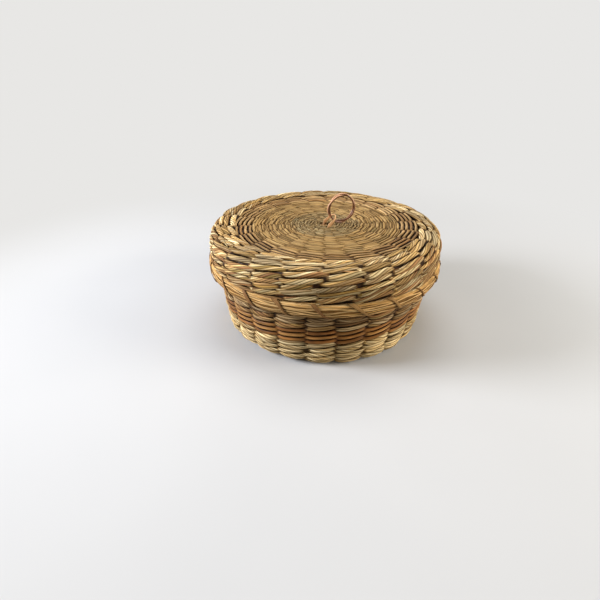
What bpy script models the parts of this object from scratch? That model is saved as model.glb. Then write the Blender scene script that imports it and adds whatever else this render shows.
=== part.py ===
"""Round lidded basket: grass and wicker rows woven round flat wooden splints, with a ring handle.

The basket stands on its base at z = 0, centred on the z axis, with the lid on. The ring
handle hangs in a splint loop near the middle of the lid and stands up, turned a little from
the x-z plane.
"""
import math

import bmesh
import bpy
from mathutils import Matrix, Vector

MM = 0.001

# Clearances and small values that every piece shares
FIT_GAP = 0.3 * MM
ROW_GAP = 0.5 * MM
CUT_OVERRUN = 2.0 * MM
MERGE_DISTANCE = 0.05 * MM
SMOOTH_ANGLE = math.radians(50)
QUARTER = math.radians(90)

# Basket: splint stakes that cross the base and stand up the side
STAKE_COUNT = 24
STAKE_THICKNESS = 0.8 * MM
STAKE_WIDTH = 8.5 * MM
STAKE_INNER_RADIUS = 9.0 * MM
STAKE_CORNER_RADIUS = 4.7 * MM
STAKE_TOP_BEND_RADIUS = 30.0 * MM
BASE_FLAT_RADIUS = 80.0 * MM
WALL_FLARE = math.radians(7.5)
FLARE_TOP_HEIGHT = 50.0 * MM

# Basket: woven base
BASE_THICKNESS = 4.0 * MM
BASE_CENTRE_RADIUS = 14.0 * MM
BASE_EDGE_INSET = 1.0 * MM
BASE_ROW_PITCH = 6.5 * MM
BASE_ROW_DEPTH = 0.9 * MM
BASE_LAND_SHARE = 0.5

# Basket: side rows, from the base up; each starts and ends at the seam stake
SIDE_ROW_PITCH = 4.5 * MM
SIDE_ROW_THICKNESS = 3.9 * MM
LOWER_ROWS_SHARE = 0.42
WICKER_TURNS = 3
SEAM_STAKE = 2

# Basket: flat weaver and hoop that the lid covers
COLLAR_HEIGHT = 16.5 * MM
COLLAR_DROP = 2.4 * MM
COLLAR_THICKNESS = 0.8 * MM
HOOP_THICKNESS = 3.0 * MM
HOOP_HEIGHT = 5.6 * MM
HOOP_POINTS = 10
HOOP_STEPS = 48
HOOP_SEAT_TRIES = 40

# Lid: splint spokes that cross the top and turn down the skirt
SPOKE_COUNT = 22
SPOKE_THICKNESS = 0.7 * MM
SPOKE_WIDTH = 7.0 * MM
SPOKE_INNER_RADIUS = 12.0 * MM
SPOKE_LEVEL = 85.6 * MM
SPOKE_CORNER_RADIUS = 7.6 * MM
LID_DEPTH = 28.1 * MM
LID_CLEARANCE = 1.2 * MM

# Lid: woven middle, twisted rows at the hub and fine flat rows round them
HUB_RADIUS = 28.0 * MM
HUB_ROWS = 6
HUB_THICKNESS = 2.0 * MM
HUB_ROW_DEPTH = 0.9 * MM
DISC_ROW_PITCH = 2.83 * MM
DISC_THICKNESS = 1.8 * MM
DISC_ROW_DEPTH = 0.4 * MM

# Lid: wicker, braid and skirt rows; the first of them lies this far in from the shoulder
BORDER_WIDTH = 26.0 * MM
LID_WICKER_THICKNESS = 2.4 * MM
LID_WICKER_PITCH = 3.45 * MM
LID_WICKER_TURNS = 4
BRAID_THICKNESS = 4.4 * MM
BRAID_PITCH = 4.95 * MM
BRAID_TURNS = 3
SKIRT_THICKNESS = 3.9 * MM
SKIRT_PITCH = 4.4 * MM
SEAM_SPOKE = 2

# Lid: straw bundle round the rim and the splint lashed round it
BUNDLE_THICKNESS = 4.3 * MM
BUNDLE_HEIGHT = 10.4 * MM
BUNDLE_POINTS = 12
BUNDLE_CLEARANCE = 1.4 * MM
LASHING_THICKNESS = 0.5 * MM
LASHING_WIDTH = 2.4 * MM
LASHING_POINTS = 12

# Ring handle and the splint loop that holds it, laid out from the ring's lower left where the
# ring stands in the x-z plane, then turned and moved to their place on the lid
HANDLE_X = 3.2 * MM
HANDLE_Y = -4.1 * MM
HANDLE_TURN = math.radians(23.3)
RING_RADIUS = 11.6 * MM
RING_ROD_RADIUS = 1.25 * MM
RING_STEPS = 36
RING_SIDES = 8
TIE_WIDTH = 1.4 * MM
TIE_THICKNESS = 0.6 * MM
TIE_FOOT_OFFSET = -2.0 * MM
TIE_HALF_SPAN = 5.2 * MM
TIE_RISE = 11.0 * MM
TIE_LEAN = math.radians(45)
TIE_FOOT_LENGTH = 3.0 * MM
TIE_ARCH_STEPS = 10

# Facets
TUBE_RESOLUTION = 1
BUNDLE_STEPS = 3 * SPOKE_COUNT
TRACK_ARC_STEPS = 16
SPLINT_ARC_STEPS = 4

# Sizes that follow from those above
BASE_EDGE_RADIUS = BASE_FLAT_RADIUS - BASE_EDGE_INSET
STAKE_LEVEL = BASE_THICKNESS + FIT_GAP
STAKE_SPREAD = STAKE_WIDTH / BASE_FLAT_RADIUS
WALL_LEAN = QUARTER - WALL_FLARE
CORNER_TOP = STAKE_LEVEL + STAKE_CORNER_RADIUS * (1 - math.cos(WALL_LEAN))
CORNER_REACH = STAKE_CORNER_RADIUS * math.sin(WALL_LEAN)
FLARE_LENGTH = (FLARE_TOP_HEIGHT - CORNER_TOP) / math.cos(WALL_FLARE)
FLARE_REACH = FLARE_LENGTH * math.sin(WALL_FLARE)
BEND_REACH = STAKE_TOP_BEND_RADIUS * (1 - math.cos(WALL_FLARE))
WALL_RADIUS = BASE_FLAT_RADIUS + CORNER_REACH + FLARE_REACH + BEND_REACH
HOOP_RADIUS = WALL_RADIUS + FIT_GAP + HOOP_THICKNESS / 2
LID_INNER_RADIUS = HOOP_RADIUS + HOOP_THICKNESS / 2 + LID_CLEARANCE
SPOKE_FLAT_RADIUS = LID_INNER_RADIUS + SPOKE_THICKNESS - SPOKE_CORNER_RADIUS
SPOKE_END_HEIGHT = SPOKE_LEVEL - LID_DEPTH
SPOKE_SPREAD = SPOKE_WIDTH / SPOKE_FLAT_RADIUS
DISC_RADIUS = SPOKE_FLAT_RADIUS - BORDER_WIDTH
BUNDLE_INNER_RADIUS = LID_INNER_RADIUS + SPOKE_THICKNESS + BUNDLE_CLEARANCE
LID_UNDERSIDE = SPOKE_LEVEL + FIT_GAP
HUB_TOP = LID_UNDERSIDE + HUB_THICKNESS
RING_LOW_HEIGHT = HUB_TOP + FIT_GAP + RING_ROD_RADIUS
RING_CENTRE = Vector((RING_RADIUS, 0.0, RING_LOW_HEIGHT + RING_RADIUS))
HANDLE_ROTATION = Matrix.Rotation(HANDLE_TURN, 4, "Z")
HANDLE_PLACE = Matrix.Translation((HANDLE_X, HANDLE_Y, 0.0)) @ HANDLE_ROTATION

# Colours, roughness
STRAW = ((0.60, 0.44, 0.22), 0.6)
CREAM = ((0.62, 0.52, 0.34), 0.65)
ORANGE_WICKER = ((0.45, 0.22, 0.08), 0.5)
OLIVE = ((0.36, 0.31, 0.17), 0.65)
TAN = ((0.46, 0.33, 0.16), 0.6)
SPLINT = ((0.50, 0.33, 0.17), 0.6)
DARK_SPLINT = ((0.30, 0.18, 0.08), 0.6)
COPPER_BROWN = ((0.38, 0.17, 0.08), 0.4)

least_gaps = {}


def clear_scene():
    for item in list(bpy.data.objects):
        bpy.data.objects.remove(item, do_unlink=True)


def new_collection(name):
    collection = bpy.data.collections.new(name)
    bpy.context.scene.collection.children.link(collection)
    return collection


def make_material(name, finish):
    colour, roughness = finish
    material = bpy.data.materials.new(name)
    material.use_nodes = True
    shader = material.node_tree.nodes["Principled BSDF"]
    shader.inputs["Base Color"].default_value = (*colour, 1.0)
    shader.inputs["Roughness"].default_value = roughness
    shader.inputs["Metallic"].default_value = 0.0
    return material


def add_object(name, data, collection, finish=None, parent=None):
    item = bpy.data.objects.new(name, data)
    collection.objects.link(item)
    if finish:
        if not data.materials:
            data.materials.append(make_material(name, finish))
    if parent:
        item.parent = parent
        item.matrix_parent_inverse = Matrix.Translation(-parent.location)
    return item


def add_empty(name, place, collection):
    empty = bpy.data.objects.new(name, None)
    empty.location = place
    collection.objects.link(empty)
    return empty


def smooth(mesh):
    mesh.shade_smooth()
    mesh.set_sharp_from_angle(angle=SMOOTH_ANGLE)


class Track:
    """A line in the (radius, height) plane, measured along its length.

    Each station holds radius, height and the outward normal there.
    """

    def __init__(self, stations):
        self.stations = stations
        self.lengths = [0.0]
        for before, after in zip(stations, stations[1:]):
            step = math.hypot(after[0] - before[0], after[1] - before[1])
            self.lengths.append(self.lengths[-1] + step)

    def share_at(self, length):
        """Station number, with its fraction, at a length along the line."""
        for index in range(len(self.stations) - 1):
            if length <= self.lengths[index + 1]:
                span = self.lengths[index + 1] - self.lengths[index]
                return index + (length - self.lengths[index]) / span
        return len(self.stations) - 1

    def length_at(self, share):
        index = min(int(share), len(self.stations) - 2)
        span = self.lengths[index + 1] - self.lengths[index]
        return self.lengths[index] + (share - index) * span

    def at(self, length):
        share = self.share_at(length)
        index = min(int(share), len(self.stations) - 2)
        rest = share - index
        before, after = self.stations[index], self.stations[index + 1]
        return [a + (b - a) * rest for a, b in zip(before, after)]

    def length_to(self, height):
        """Length along the line's last, upright stretch where it reaches a height."""
        return self.lengths[-1] - abs(self.stations[-1][1] - height)


def lay_track(start, moves, side, offset=0.0):
    """Track from straight lines and arcs; side is 1 where left of the heading is outside."""
    radius, height = start
    heading = 0.0
    stations = [(radius, height, heading)]
    for size, turn, steps in moves:
        if turn == 0.0:
            radius += size * math.cos(heading)
            height += size * math.sin(heading)
            stations.append((radius, height, heading))
            continue
        hand = math.copysign(1.0, turn)
        centre_radius = radius - hand * size * math.sin(heading)
        centre_height = height + hand * size * math.cos(heading)
        for step in range(1, steps + 1):
            angle = heading + turn * step / steps
            radius = centre_radius + hand * size * math.sin(angle)
            height = centre_height - hand * size * math.cos(angle)
            stations.append((radius, height, angle))
        heading += turn
    shifted = []
    for radius, height, heading in stations:
        normal_radius = -side * math.sin(heading)
        normal_height = side * math.cos(heading)
        shifted.append((radius + offset * normal_radius, height + offset * normal_height,
                        normal_radius, normal_height))
    return Track(shifted)


def stake_track(inner_radius, offset, top, arc_steps):
    """Outer face of a basket stake: along the base, round the corner and up the wall."""
    bend_rise = STAKE_TOP_BEND_RADIUS * math.sin(WALL_FLARE)
    moves = [
        (BASE_FLAT_RADIUS - inner_radius, 0.0, 1),
        (STAKE_CORNER_RADIUS, WALL_LEAN, arc_steps),
        (FLARE_LENGTH, 0.0, 1),
        (STAKE_TOP_BEND_RADIUS, WALL_FLARE, 1),
        (top - FLARE_TOP_HEIGHT - bend_rise, 0.0, 1),
    ]
    return lay_track((inner_radius, STAKE_LEVEL), moves, -1, offset)


def spoke_track(inner_radius, offset, arc_steps):
    """Outer face of a lid spoke: out along the top, round the shoulder and down the skirt."""
    moves = [
        (SPOKE_FLAT_RADIUS - inner_radius, 0.0, 1),
        (SPOKE_CORNER_RADIUS, -QUARTER, arc_steps),
        (SPOKE_LEVEL - SPOKE_CORNER_RADIUS - SPOKE_END_HEIGHT, 0.0, 1),
    ]
    return lay_track((inner_radius, SPOKE_LEVEL), moves, 1, offset)


def kink_allowance(count, spread):
    """Share of the radius by which a straight stretch between splints dips at a splint's edge."""
    half_step = math.pi / count
    return 1 - math.cos(half_step) / math.cos(half_step - spread / 2)


def coil_points(track, start, turns, pitch, count, seam, kink):
    """Points of one unbroken row that winds along the track, kinked at each splint."""
    points = []
    for step in range(turns * count + 1):
        angle = math.tau * (seam + step) / count
        radius, height, normal_radius, _ = track.at(start + pitch * step / count)
        radius += kink * radius * normal_radius
        points.append(Vector((radius * math.cos(angle), radius * math.sin(angle), height)))
    return points


def least_gap(points, per_turn, thickness):
    """Least gap between a wound row and its neighbouring turn, measured between its stretches."""
    least = math.inf
    for first in range(len(points)):
        low = first + per_turn - 2
        for second in range(low, min(first + per_turn + 2, len(points) - 1)):
            start, end = points[second], points[second + 1]
            along = end - start
            share = (points[first] - start).dot(along) / along.length_squared
            nearest = start + along * max(0.0, min(1.0, share))
            least = min(least, (points[first] - nearest).length)
    return least - thickness


def add_coil(name, points, thickness, per_turn, collection, finish, parent):
    """One unbroken tube along the points, with closed ends."""
    curve = bpy.data.curves.new(name, "CURVE")
    curve.dimensions = "3D"
    curve.bevel_depth = thickness / 2
    curve.bevel_resolution = TUBE_RESOLUTION
    curve.use_fill_caps = True
    spline = curve.splines.new("POLY")
    spline.points.add(len(points) - 1)
    for place, point in zip(spline.points, points):
        place.co = (*point, 1.0)
    spline.use_smooth = True
    least_gaps[name] = least_gap(points, per_turn, thickness)
    return add_object(name, curve, collection, finish, parent)


def profile_mesh(name, outline, closed):
    """An outline in the x-z plane, as edges that a Screw modifier turns."""
    mesh = bpy.data.meshes.new(name)
    count = len(outline)
    edges = [(index, index + 1) for index in range(count - 1)]
    if closed:
        edges.append((count - 1, 0))
    mesh.from_pydata([(radius, 0.0, height) for radius, height in outline], edges, [])
    return mesh


def add_turned(name, outline, closed, steps, collection, finish, parent):
    """A solid of revolution; the outline runs from the top down its outer side."""
    item = add_object(name, profile_mesh(name, outline, closed), collection, finish, parent)
    screw = item.modifiers.new("turn", "SCREW")
    screw.axis = "Z"
    screw.steps = steps
    screw.render_steps = steps
    screw.use_merge_vertices = True
    screw.merge_threshold = MERGE_DISTANCE
    screw.use_smooth_shade = True
    return item


def splint_mesh(name, track, spread):
    """Outer face of one splint: a narrow slice of the turned face, as a single strip."""
    mesh = bpy.data.meshes.new(name)
    verts = []
    for side in (-0.5, 0.5):
        angle = side * spread
        for radius, height, _, _ in track.stations:
            verts.append((radius * math.cos(angle), radius * math.sin(angle), height))
    rows = len(track.stations)
    faces = [(row, rows + row, rows + row + 1, row + 1) for row in range(rows - 1)]
    mesh.from_pydata(verts, [], faces)
    return mesh


def add_splints(name, count, track, spread, thickness, inward, collection, finish, parent):
    """A ring of like splints, each its own piece, as thick as given on the inner side."""
    mesh = splint_mesh(name, track, spread)
    for number in range(count):
        item = add_object(f"{name}_{number + 1:02d}", mesh, collection, finish, parent)
        item.rotation_euler = (0.0, 0.0, math.tau * number / count)
        shell = item.modifiers.new("thickness", "SOLIDIFY")
        shell.thickness = thickness
        shell.offset = inward
        shell.use_even_offset = True


def ribbon_mesh(name, centres, across, width):
    """A flat strip along the centres; across gives its width direction at each."""
    mesh = bpy.data.meshes.new(name)
    verts = []
    for centre, direction in zip(centres, across):
        verts.append(centre - direction.normalized() * (width / 2))
        verts.append(centre + direction.normalized() * (width / 2))
    faces = []
    for row in range(len(centres) - 1):
        low = 2 * row
        faces.append((low, low + 1, low + 3, low + 2))
    mesh.from_pydata(verts, [], faces)
    return mesh


def add_ribbon(name, centres, across, width, thickness, collection, finish, parent):
    item = add_object(name, ribbon_mesh(name, centres, across, width), collection, finish, parent)
    shell = item.modifiers.new("thickness", "SOLIDIFY")
    shell.thickness = thickness
    shell.offset = 0.0
    shell.use_even_offset = True
    return item


def add_box_cutter(name, low, high, collection):
    mesh = bpy.data.meshes.new(name)
    shape = bmesh.new()
    bmesh.ops.create_cube(shape, size=1.0)
    size = high - low
    bmesh.ops.scale(shape, vec=size, verts=shape.verts)
    bmesh.ops.translate(shape, vec=low + size / 2, verts=shape.verts)
    shape.to_mesh(mesh)
    shape.free()
    cutter = add_object(name, mesh, collection)
    cutter.hide_render = True
    cutter.display_type = "WIRE"
    return cutter


def ellipse_outline(centre_radius, centre_height, half_width, half_height, points):
    """Closed outline, clockwise from the top, so that it turns into an outward-facing ring."""
    outline = []
    for number in range(points):
        angle = QUARTER - math.tau * number / points
        outline.append((centre_radius + half_width * math.cos(angle),
                        centre_height + half_height * math.sin(angle)))
    return outline


def make_base(collection):
    """Woven base: a flat round of rows with a smooth middle where the splints cross."""
    top = BASE_THICKNESS
    outline = [(0.0, top), (BASE_EDGE_RADIUS, top)]
    rows = round((BASE_EDGE_RADIUS - BASE_CENTRE_RADIUS) / BASE_ROW_PITCH)
    pitch = (BASE_EDGE_RADIUS - BASE_CENTRE_RADIUS) / rows
    outline.append((BASE_EDGE_RADIUS, BASE_ROW_DEPTH))
    for row in range(rows):
        outer = BASE_EDGE_RADIUS - row * pitch
        land = pitch * BASE_LAND_SHARE
        outline.append((outer - (pitch - land) / 2, 0.0))
        outline.append((outer - (pitch + land) / 2, 0.0))
        outline.append((outer - pitch, BASE_ROW_DEPTH))
    outline.append((BASE_CENTRE_RADIUS - (pitch - land) / 2, 0.0))
    outline.append((0.0, 0.0))
    add_turned("base_weave", outline, False, STAKE_COUNT, collection, CREAM, None)


def make_side(collection):
    """Side rows: pale grass, three rows of wicker, and grass again up to the lid."""
    offset = FIT_GAP + SIDE_ROW_THICKNESS / 2
    track = stake_track(0.0, offset, SPOKE_LEVEL, TRACK_ARC_STEPS)
    kink = kink_allowance(STAKE_COUNT, STAKE_SPREAD)
    start = BASE_EDGE_RADIUS + ROW_GAP + SIDE_ROW_THICKNESS / 2
    room = track.length_to(collar_top() - COLLAR_HEIGHT) - SIDE_ROW_THICKNESS / 2 - start
    turns = int(room / SIDE_ROW_PITCH)
    lower = round(turns * LOWER_ROWS_SHARE)
    rows = (
        ("side_grass_lower", lower, CREAM),
        ("side_wicker", WICKER_TURNS, ORANGE_WICKER),
        ("side_grass_upper", turns - lower - WICKER_TURNS, STRAW),
    )
    for name, turns, finish in rows:
        points = coil_points(track, start, turns, SIDE_ROW_PITCH, STAKE_COUNT, SEAM_STAKE, kink)
        points = shorten(points, SIDE_ROW_THICKNESS, STAKE_COUNT)
        add_coil(name, points, SIDE_ROW_THICKNESS, STAKE_COUNT, collection, finish, None)
        start += turns * SIDE_ROW_PITCH


def shorten(points, thickness, count):
    """Draw both ends of a row in, so that it meets the next row, at the kink, with a gap."""
    trim = FIT_GAP / 2 + thickness / 2 * math.tan(math.pi / count)
    first = points[0] + (points[1] - points[0]).normalized() * trim
    last = points[-1] + (points[-2] - points[-1]).normalized() * trim
    return [first, *points[1:-1], last]


def hoop_height():
    """Height of the hoop's middle where its outer shoulder just meets the lid's inner corner."""
    corner_height = SPOKE_LEVEL - SPOKE_CORNER_RADIUS
    room = (SPOKE_CORNER_RADIUS - SPOKE_THICKNESS) * math.cos(QUARTER / 2 / SPLINT_ARC_STEPS) - FIT_GAP
    low, high = SPOKE_END_HEIGHT, SPOKE_LEVEL
    for _ in range(HOOP_SEAT_TRIES):
        middle = (low + high) / 2
        outline = ellipse_outline(HOOP_RADIUS, middle, HOOP_THICKNESS / 2, HOOP_HEIGHT / 2,
                                  HOOP_STEPS)
        reach = max((math.hypot(radius - SPOKE_FLAT_RADIUS, height - corner_height)
                     for radius, height in outline if height > corner_height), default=0.0)
        if reach < room:
            low = middle
        else:
            high = middle
    return low


def collar_top():
    return hoop_height() - HOOP_HEIGHT / 2 - COLLAR_DROP


def make_basket_top(collection):
    """Flat weaver that the lid covers, and the hoop bound outside the stakes' ends."""
    inner = WALL_RADIUS * (1 + kink_allowance(STAKE_COUNT, STAKE_SPREAD)) + FIT_GAP
    outer = inner + COLLAR_THICKNESS
    top = collar_top()
    bottom = top - COLLAR_HEIGHT
    outline = [(inner, top), (outer, top), (outer, bottom), (inner, bottom)]
    add_turned("side_collar", outline, True, STAKE_COUNT, collection, SPLINT, None)
    outline = ellipse_outline(HOOP_RADIUS, hoop_height(), HOOP_THICKNESS / 2, HOOP_HEIGHT / 2,
                              HOOP_POINTS)
    add_turned("basket_rim_hoop", outline, True, HOOP_STEPS, collection, SPLINT, None)


def make_stakes(collection):
    track = stake_track(STAKE_INNER_RADIUS, 0.0, hoop_height() + HOOP_HEIGHT / 2, SPLINT_ARC_STEPS)
    add_splints("basket_stake", STAKE_COUNT, track, STAKE_SPREAD, STAKE_THICKNESS, -1.0,
                collection, SPLINT, None)


def make_lid_middle(collection, cutters, parent):
    """Woven middle of the lid, with two slots that the handle's loop passes through."""
    outline = [(0.0, HUB_TOP)]
    pitch = HUB_RADIUS / HUB_ROWS
    for row in range(HUB_ROWS):
        outline.append(((row + 0.5) * pitch, HUB_TOP))
        outline.append(((row + 1) * pitch, HUB_TOP - HUB_ROW_DEPTH))
    disc_top = LID_UNDERSIDE + DISC_THICKNESS
    rows = round((DISC_RADIUS - HUB_RADIUS) / DISC_ROW_PITCH)
    pitch = (DISC_RADIUS - HUB_RADIUS) / rows
    for row in range(rows):
        outline.append((HUB_RADIUS + (row + 0.5) * pitch, disc_top))
        outline.append((HUB_RADIUS + (row + 1) * pitch, disc_top - DISC_ROW_DEPTH))
    outline.append((DISC_RADIUS, LID_UNDERSIDE))
    outline.append((0.0, LID_UNDERSIDE))
    middle = add_turned("lid_centre_weave", outline, False, SPOKE_COUNT, collection, OLIVE, parent)
    reach = Vector((TIE_WIDTH / 2 + FIT_GAP, TIE_THICKNESS / 2 + FIT_GAP, 0.0))
    for name, side in (("slot_front", -1), ("slot_back", 1)):
        place = Vector((TIE_FOOT_OFFSET, side * TIE_HALF_SPAN, 0.0))
        low = place - reach + Vector((0.0, 0.0, LID_UNDERSIDE - CUT_OVERRUN))
        high = place + reach + Vector((0.0, 0.0, HUB_TOP + CUT_OVERRUN))
        cut = middle.modifiers.new(name, "BOOLEAN")
        cut.operation = "DIFFERENCE"
        cut.object = add_box_cutter(name, low, high, cutters)
        cut.object.data.transform(HANDLE_PLACE)


def make_lid_rows(collection, parent):
    """Wicker, braid and skirt rows; returns the height of the lowest row's middle."""
    kink = kink_allowance(SPOKE_COUNT, SPOKE_SPREAD)
    rows = (
        ("lid_wicker", LID_WICKER_THICKNESS, LID_WICKER_PITCH, LID_WICKER_TURNS, ORANGE_WICKER),
        ("lid_braid", BRAID_THICKNESS, BRAID_PITCH, BRAID_TURNS, STRAW),
        ("lid_skirt_rows", SKIRT_THICKNESS, SKIRT_PITCH, None, TAN),
    )
    share = None
    for name, thickness, pitch, turns, finish in rows:
        track = spoke_track(0.0, FIT_GAP + thickness / 2, TRACK_ARC_STEPS)
        if share is None:
            start = DISC_RADIUS + ROW_GAP + thickness / 2
        else:
            room = (thickness + before) / 2 + ROW_GAP
            start = track.length_at(share) + max(0.0, room - before_pitch)
        if turns is None:
            room = track.length_to(SPOKE_END_HEIGHT + BUNDLE_HEIGHT) - start
            turns = round(room / pitch)
        points = coil_points(track, start, turns, pitch, SPOKE_COUNT, SEAM_SPOKE, kink)
        points = shorten(points, thickness, SPOKE_COUNT)
        add_coil(name, points, thickness, SPOKE_COUNT, collection, finish, parent)
        share = track.share_at(start + turns * pitch)
        before, before_pitch = thickness, pitch
    return points[-1].z


def make_lid_rim(collection, parent, lowest_row):
    """Straw bundle round the lid's rim, and one splint lashed round it at every spoke."""
    top = lowest_row - SKIRT_THICKNESS / 2 - LASHING_THICKNESS - 2 * FIT_GAP
    middle_radius = BUNDLE_INNER_RADIUS + BUNDLE_THICKNESS / 2
    middle_height = top - BUNDLE_HEIGHT / 2
    outline = ellipse_outline(middle_radius, middle_height, BUNDLE_THICKNESS / 2, BUNDLE_HEIGHT / 2,
                              BUNDLE_POINTS)
    add_turned("lid_rim_bundle", outline, True, BUNDLE_STEPS, collection, STRAW, parent)
    dip = BUNDLE_INNER_RADIUS * (1 - math.cos(math.pi / BUNDLE_STEPS))
    lift = FIT_GAP + LASHING_THICKNESS / 2 + dip
    centres = []
    across = []
    steps = SPOKE_COUNT * LASHING_POINTS
    for step in range(steps):
        turn = math.tau * step / steps
        wrap = math.pi - math.tau * step / LASHING_POINTS
        normal = Vector((math.cos(wrap) * BUNDLE_HEIGHT, math.sin(wrap) * BUNDLE_THICKNESS)).normalized()
        radius = middle_radius + BUNDLE_THICKNESS / 2 * math.cos(wrap) + lift * normal.x
        height = middle_height + BUNDLE_HEIGHT / 2 * math.sin(wrap) + lift * normal.y
        centres.append(Vector((radius * math.cos(turn), radius * math.sin(turn), height)))
        across.append(Vector((-math.sin(turn), math.cos(turn), 0.0)))
    add_ribbon("lid_rim_lashing", centres, across, LASHING_WIDTH, LASHING_THICKNESS,
               collection, DARK_SPLINT, parent)


def make_spokes(collection, parent):
    track = spoke_track(SPOKE_INNER_RADIUS, 0.0, SPLINT_ARC_STEPS)
    add_splints("lid_spoke", SPOKE_COUNT, track, SPOKE_SPREAD, SPOKE_THICKNESS, 1.0,
                collection, SPLINT, parent)


def make_tie(collection, parent):
    """Splint loop at the middle of the lid: its ends pass through the weave and turn in below."""
    upright = Vector((1.0, 0.0, 0.0))
    leaning = Vector((math.cos(TIE_LEAN), 0.0, -math.sin(TIE_LEAN)))
    rising = Vector((math.sin(TIE_LEAN), 0.0, math.cos(TIE_LEAN)))
    foot_height = LID_UNDERSIDE - FIT_GAP - TIE_THICKNESS / 2
    foot = [
        Vector((TIE_FOOT_OFFSET, TIE_FOOT_LENGTH - TIE_HALF_SPAN, foot_height)),
        Vector((TIE_FOOT_OFFSET, -TIE_HALF_SPAN, foot_height)),
        Vector((TIE_FOOT_OFFSET, -TIE_HALF_SPAN, HUB_TOP)),
    ]
    arch = []
    for step in range(TIE_ARCH_STEPS + 1):
        angle = math.pi - math.pi * step / TIE_ARCH_STEPS
        rise = TIE_RISE - TIE_HALF_SPAN + TIE_HALF_SPAN * math.sin(angle)
        arch.append(Vector((TIE_FOOT_OFFSET, TIE_HALF_SPAN * math.cos(angle), HUB_TOP)) + rising * rise)
    far_foot = [Vector((point.x, -point.y, point.z)) for point in reversed(foot)]
    across = [upright] * len(foot) + [leaning] * len(arch) + [upright] * len(foot)
    tie = add_ribbon("ring_tie", foot + arch + far_foot, across, TIE_WIDTH, TIE_THICKNESS,
                     collection, SPLINT, parent)
    tie.data.transform(HANDLE_PLACE)


def ring_axis():
    """Point on the rod where the loop's plane crosses it; the ring swings about a level line here."""
    foot = Vector((TIE_FOOT_OFFSET, 0.0, HUB_TOP))
    lean = Vector((math.sin(TIE_LEAN), 0.0, math.cos(TIE_LEAN)))
    inward = RING_CENTRE - foot
    along = inward.dot(lean)
    reach = math.sqrt(RING_RADIUS ** 2 - (inward.length_squared - along ** 2))
    return foot + lean * (along - reach)


def make_ring(collection, parent):
    bpy.ops.mesh.primitive_torus_add(
        major_segments=RING_STEPS, minor_segments=RING_SIDES,
        major_radius=RING_RADIUS, minor_radius=RING_ROD_RADIUS)
    ring = bpy.context.object
    ring.name = "ring_handle"
    for owner in list(ring.users_collection):
        owner.objects.unlink(ring)
    collection.objects.link(ring)
    ring.data.transform(HANDLE_ROTATION @ Matrix.Rotation(QUARTER, 4, "X"))
    ring.data.materials.append(make_material("ring_handle", COPPER_BROWN))
    smooth(ring.data)
    ring.parent = parent
    ring.location = HANDLE_PLACE @ RING_CENTRE - parent.location


def main():
    clear_scene()
    basket = new_collection("lidded_basket")
    cutters = new_collection("cutters")
    lid = add_empty("lid_pivot", (0.0, 0.0, hoop_height()), basket)
    swing = add_empty("ring_pivot", HANDLE_PLACE @ ring_axis(), basket)
    make_base(basket)
    make_side(basket)
    make_basket_top(basket)
    make_stakes(basket)
    make_lid_middle(basket, cutters, lid)
    lowest_row = make_lid_rows(basket, lid)
    make_lid_rim(basket, lid, lowest_row)
    make_spokes(basket, lid)
    make_tie(basket, lid)
    make_ring(basket, swing)
    for name, gap in least_gaps.items():
        print(f"{name}: least gap between its turns {gap / MM:.2f} mm")


main()
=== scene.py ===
"""Looks of the round lidded basket: woven grass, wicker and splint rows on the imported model.

Every woven zone is a pair of strands that pass on either side of each splint and cross
between the splints. The lines that they follow repeat the model's own, in metres. The rows of
the lid's wicker and braid are spaced a little wider than the model's.
"""

import math

import bpy
import numpy as np
from mathutils import Matrix, Vector


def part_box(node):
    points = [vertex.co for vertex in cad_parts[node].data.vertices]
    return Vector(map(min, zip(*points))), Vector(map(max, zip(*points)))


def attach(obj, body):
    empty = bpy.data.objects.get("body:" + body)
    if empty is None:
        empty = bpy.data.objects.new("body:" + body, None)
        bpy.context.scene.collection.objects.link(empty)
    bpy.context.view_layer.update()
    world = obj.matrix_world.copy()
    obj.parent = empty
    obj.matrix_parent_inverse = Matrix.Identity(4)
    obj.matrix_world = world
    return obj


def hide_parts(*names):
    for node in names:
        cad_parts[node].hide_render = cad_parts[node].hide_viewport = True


MM = 0.001
TAU = math.tau
SEED = 24
ARC_STEPS = 24

# Basket wall, as in the model
STAKE_COUNT = 24
STAKE_LEVEL = 4.3 * MM
STAKE_THICKNESS = 0.8 * MM
BASE_FLAT_RADIUS = 80.0 * MM
STAKE_CORNER_RADIUS = 4.7 * MM
WALL_FLARE = math.radians(7.5)
FLARE_TOP_HEIGHT = 50.0 * MM
STAKE_TOP_BEND_RADIUS = 30.0 * MM
SIDE_START = 81.45 * MM
SIDE_PITCH = 4.5 * MM
SEAM_STAKE = 2

# Lid, as in the model
SPOKE_COUNT = 22
SPOKE_LEVEL = 85.6 * MM
SPOKE_THICKNESS = 0.7 * MM
SPOKE_FLAT_RADIUS = 88.0 * MM
SPOKE_CORNER_RADIUS = 7.6 * MM
SPOKE_END_HEIGHT = 57.5 * MM
SEAM_SPOKE = 2


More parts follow.
